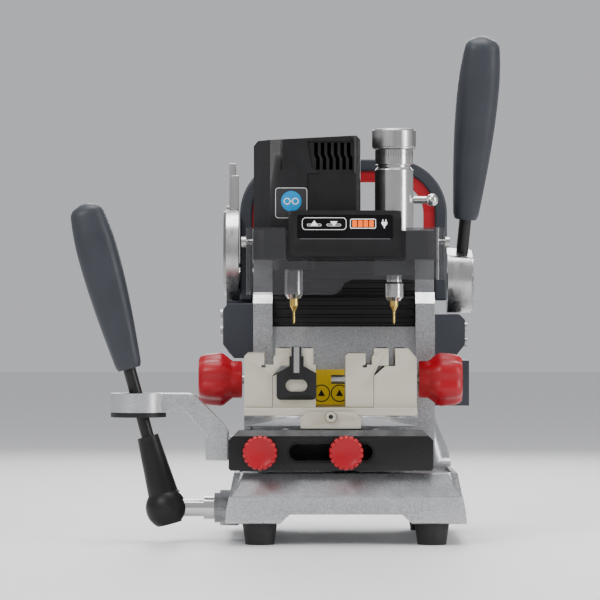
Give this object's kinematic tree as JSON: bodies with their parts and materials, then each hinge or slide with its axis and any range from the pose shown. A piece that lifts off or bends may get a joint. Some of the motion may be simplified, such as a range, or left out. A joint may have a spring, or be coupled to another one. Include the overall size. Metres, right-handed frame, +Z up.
{
  "type": "key duplicating machine",
  "caption": "Manual bench machine that copies keys: cutter and tracer on a lowering head, jaws on cross slides, joystick feed lever and head lever.",
  "frame": {"origin": "centre of the machine's footprint box, on the surface that the feet stand on", "axes": "+X to the operator's right, +Y away from the operator, +Z up"},
  "size_m": [0.3078, 0.224, 0.3638],
  "materials": {
    "silver_casting": "bead-blasted silver paint with a fine grain",
    "steel": "ground and turned steel",
    "chrome": "polished chrome",
    "black_metal": "black powder coat",
    "black_plastic": "fine moulded texture",
    "slate_plastic": "moulded slate grey plastic",
    "dark_casting": "dark grey coated casting",
    "red_plastic": "satin red plastic",
    "jaw_steel": "warm nickel plate",
    "bronze": "sintered bronze",
    "gold": "titanium nitride coat",
    "rubber": "matte rubber",
    "clear": "clear polycarbonate"
  },
  "bodies": {
    "base": {"base_casting": "silver_casting", "rubber_feet": "rubber", "x_rods": "chrome", "column_casting": "silver_casting", "z_rods": "chrome", "lift_springs": "steel", "way_cover_lower": "black_plastic", "left_side_shell": "slate_plastic", "right_side_shell": "slate_plastic", "side_screws": "steel", "left_bearing_plate": "steel", "handle_arch": "slate_plastic", "handle_inlay": "red_plastic", "rear_cover": "slate_plastic", "control_box": "slate_plastic"},
    "switch": {"power_switch": "black_plastic"},
    "x_carriage": {"cross_carriage": "silver_casting", "x_bushes": "bronze", "y_rods": "chrome", "front_bar": "black_metal"},
    "x_lock": {"x_lock_knob": "red_plastic"},
    "y_lock": {"y_lock_knob": "red_plastic"},
    "table": {"table": "silver_casting", "bed_plate": "jaw_steel", "front_bracket": "jaw_steel", "left_jaw_block": "jaw_steel", "right_jaw_block": "jaw_steel", "lever_arm": "silver_casting", "eye_bush": "black_plastic", "sample_key": "black_plastic"},
    "left_jaw": {"left_jaw_slider": "jaw_steel"},
    "right_jaw": {"right_jaw_slider": "jaw_steel"},
    "left_clamp": {"left_clamp_knob": "red_plastic", "left_clamp_screw": "steel"},
    "right_clamp": {"right_clamp_knob": "red_plastic", "right_clamp_screw": "steel"},
    "lever_shaft": {"pivot_shaft": "chrome"},
    "xy_lever": {"xy_hood": "black_plastic", "xy_rod": "black_metal", "xy_grip": "slate_plastic"},
    "head": {"head_casting": "dark_casting", "head_bushes": "bronze", "way_cover_upper": "black_plastic", "motor_cover": "black_plastic", "motor": "steel", "display_housing": "black_plastic", "micrometer_barrel": "chrome", "shield_screws": "steel", "spindle_bearings": "steel"},
    "spindle": {"spindle_shaft": "chrome", "cutter": "gold"},
    "tracer": {"tracer_quill": "chrome", "tracer_pin": "gold"},
    "thimble": {"micrometer_thimble": "steel"},
    "tracer_clamp": {"tracer_clamp_screw": "chrome"},
    "z_lever": {"z_shaft": "steel", "z_hub": "steel", "z_rod": "black_metal", "z_grip": "slate_plastic"},
    "guard": {"shield": "clear"}
  },
  "joints": [
    {"name": "x_slide", "type": "slide", "parent": "base", "child": "x_carriage", "axis": [1, 0, 0], "range_m": [-0.0115, 0.03]},
    {"name": "y_slide", "type": "slide", "parent": "x_carriage", "child": "table", "axis": [0, 1, 0], "range_m": [-0.0135, 0.0135]},
    {"name": "lever_roll", "type": "hinge", "parent": "base", "child": "lever_shaft", "pos_m": [-0.0612, -0.061, 0.0245], "axis": [-1, 0, 0], "range_deg": [-11, 11]},
    {"name": "lever_swing", "type": "hinge", "parent": "lever_shaft", "child": "xy_lever", "pos_m": [-0.0866, -0.061, 0.0245], "axis": [0, 1, 0], "range_deg": [-9, 23]},
    {"name": "x_lock_turn", "type": "hinge", "parent": "base", "child": "x_lock", "pos_m": [0.0388, -0.095, 0.0648], "axis": [0, 1, 0], "range_deg": [-180, 45]},
    {"name": "y_lock_turn", "type": "hinge", "parent": "x_carriage", "child": "y_lock", "pos_m": [-0.0208, -0.095, 0.0648], "axis": [0, 1, 0], "range_deg": [-180, 45]},
    {"name": "left_jaw_slide", "type": "slide", "parent": "table", "child": "left_jaw", "axis": [1, 0, 0], "range_m": [-0.005, 0]},
    {"name": "left_clamp_turn", "type": "hinge", "parent": "left_jaw", "child": "left_clamp", "pos_m": [-0.0412, -0.035, 0.114], "axis": [1, 0, 0], "range_deg": [-1202, 2]},
    {"name": "right_jaw_slide", "type": "slide", "parent": "table", "child": "right_jaw", "axis": [1, 0, 0], "range_m": [-0.005, 0]},
    {"name": "right_clamp_turn", "type": "hinge", "parent": "table", "child": "right_clamp", "pos_m": [0.0988, -0.035, 0.114], "axis": [1, 0, 0], "range_deg": [-2, 1202]},
    {"name": "head_slide", "type": "slide", "parent": "base", "child": "head", "axis": [0, 0, -1], "range_m": [0, 0.0145], "deforming": ["lift_springs"]},
    {"name": "z_lever_turn", "type": "hinge", "parent": "base", "child": "z_lever", "pos_m": [0.1253, 0.0856, 0.186], "axis": [1, 0, 0], "range_deg": [-0.5, 56]},
    {"name": "spindle_spin", "type": "hinge", "parent": "head", "child": "spindle", "pos_m": [0.0026, -0.035, 0.2], "axis": [0, 0, 1], "continuous": true},
    {"name": "thimble_turn", "type": "hinge", "parent": "head", "child": "thimble", "pos_m": [0.0736, -0.035, 0.28], "axis": [0, 0, 1], "range_deg": [-540, 540]},
    {"name": "tracer_lift", "type": "slide", "parent": "head", "child": "tracer", "axis": [0, 0, 1], "range_m": [-0.00151, 0.00151]},
    {"name": "tracer_clamp_turn", "type": "hinge", "parent": "head", "child": "tracer_clamp", "pos_m": [0.0888, -0.035, 0.2414], "axis": [1, 0, 0], "range_deg": [0, 180]},
    {"name": "guard_flip", "type": "hinge", "parent": "head", "child": "guard", "pos_m": [0.0388, -0.065, 0.211], "axis": [-1, 0, 0], "range_deg": [0, 50]},
    {"name": "power_rocker", "type": "hinge", "parent": "base", "child": "switch", "pos_m": [0.1138, 0.09, 0.11], "axis": [1, 0, 0], "range_deg": [-8, 8]}
  ],
  "couplings": [
    {"joint": "lever_swing", "follows": "x_slide", "rad_per_m": 13},
    {"joint": "lever_roll", "follows": "y_slide", "rad_per_m": 13.5},
    {"joint": "left_clamp_turn", "follows": "left_jaw_slide", "rad_per_m": 4188.8},
    {"joint": "right_clamp_turn", "follows": "right_jaw_slide", "rad_per_m": -4188.8},
    {"joint": "z_lever_turn", "follows": "head_slide", "rad_per_m": 66.667},
    {"joint": "tracer_lift", "follows": "thimble_turn", "m_per_rad": 0.00015915}
  ]
}
